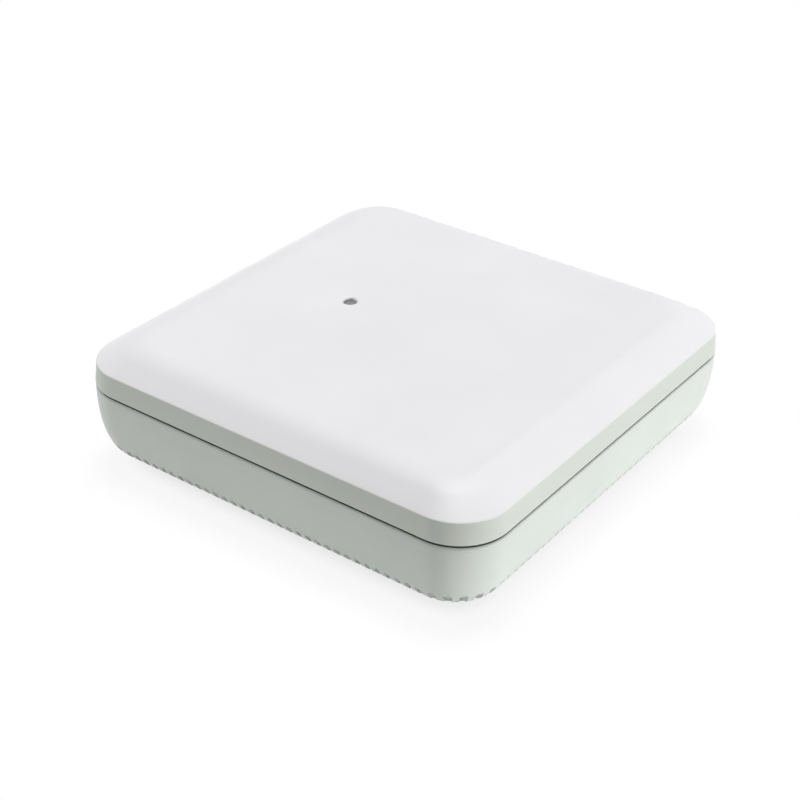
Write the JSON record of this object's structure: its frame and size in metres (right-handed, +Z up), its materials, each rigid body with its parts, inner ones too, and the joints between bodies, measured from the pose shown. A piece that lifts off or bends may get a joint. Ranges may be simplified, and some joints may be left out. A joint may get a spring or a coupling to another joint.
{
  "type": "ceiling access point",
  "caption": "Square ceiling wireless access point: low-domed moulded cover with a light window on a ribbed die-cast base with a cable bay and mounting posts.",
  "frame": {"origin": "middle of the body's outline, on the plane of the mounting posts' end faces that the part stands on", "axes": "+Z up through the domed cover, +Y towards the cable bay and its outlet, +X to the right with the light window on the -X side"},
  "size_m": [0.22, 0.2206, 0.0625],
  "materials": {
    "cover_plastic": "white moulded plastic, fine satin texture",
    "base_paint": "die casting with a matt off-white powder coat",
    "light_pipe": "smoky translucent plastic",
    "led_package": "white package with yellow phosphor",
    "board_green": "green solder mask",
    "chip_black": "black epoxy",
    "tin": "tin-plated sheet",
    "steel": "zinc-plated steel",
    "brass": "plain brass",
    "aluminium": "plain sheet aluminium",
    "gap_pad": "soft grey-blue thermal pad",
    "ferrite": "dark ferrite and tape",
    "black_plastic": "black moulded plastic",
    "lead_jacket": "black coaxial jacket"
  },
  "bodies": {
    "housing": {"antenna_plate": "aluminium", "aux_jack": "tin", "aux_magnetics": "black_plastic", "base_casting": "base_paint", "board_spacer_1": "brass", "board_spacer_2": "brass", "board_spacer_3": "brass", "board_spacer_4": "brass", "bulk_capacitor": "aluminium", "console_jack": "tin", "cover_screw_1": "steel", "cover_screw_2": "steel", "cover_screw_3": "steel", "cover_screw_4": "steel", "dc_power_jack": "black_plastic", "dual_band_antenna_1": "tin", "dual_band_antenna_2": "tin", "dual_band_antenna_3": "tin", "dual_band_antenna_4": "tin", "dual_band_lead_1": "lead_jacket", "dual_band_lead_2": "lead_jacket", "dual_band_lead_3": "lead_jacket", "dual_band_lead_4": "lead_jacket", "flash_chip": "chip_black", "high_band_antenna_1": "tin", "high_band_antenna_2": "tin", "high_band_antenna_3": "tin", "high_band_antenna_4": "tin", "high_band_lead_1": "lead_jacket", "high_band_lead_2": "lead_jacket", "high_band_lead_3": "lead_jacket", "high_band_lead_4": "lead_jacket", "left_radio_chip": "chip_black", "left_radio_shield": "tin", "left_radio_thermal_pad": "gap_pad", "light_pipe": "light_pipe", "main_board": "board_green", "memory_chip": "chip_black", "mode_switch": "black_plastic", "mounting_post_1": "steel", "mounting_post_2": "steel", "mounting_post_3": "steel", "mounting_post_4": "steel", "plate_screw_1": "steel", "plate_screw_2": "steel", "plate_screw_3": "steel", "plate_screw_4": "steel", "poe_jack": "tin", "poe_magnetics": "black_plastic", "power_inductor": "ferrite", "power_transformer": "ferrite", "processor_chip": "chip_black", "processor_thermal_pad": "gap_pad", "right_radio_chip": "chip_black", "right_radio_shield": "tin", "right_radio_thermal_pad": "gap_pad", "status_led": "led_package", "top_cover": "cover_plastic", "usb_jack": "tin"},
    "mode_button": {"mode_button": "black_plastic"}
  },
  "joints": [
    {"name": "mode_button_press", "type": "slide", "parent": "housing", "child": "mode_button", "axis": [0, -1, 0], "range_m": [0, 0.0005], "stiffness_N_per_m": 1200, "springref_m": -0.0005}
  ]
}
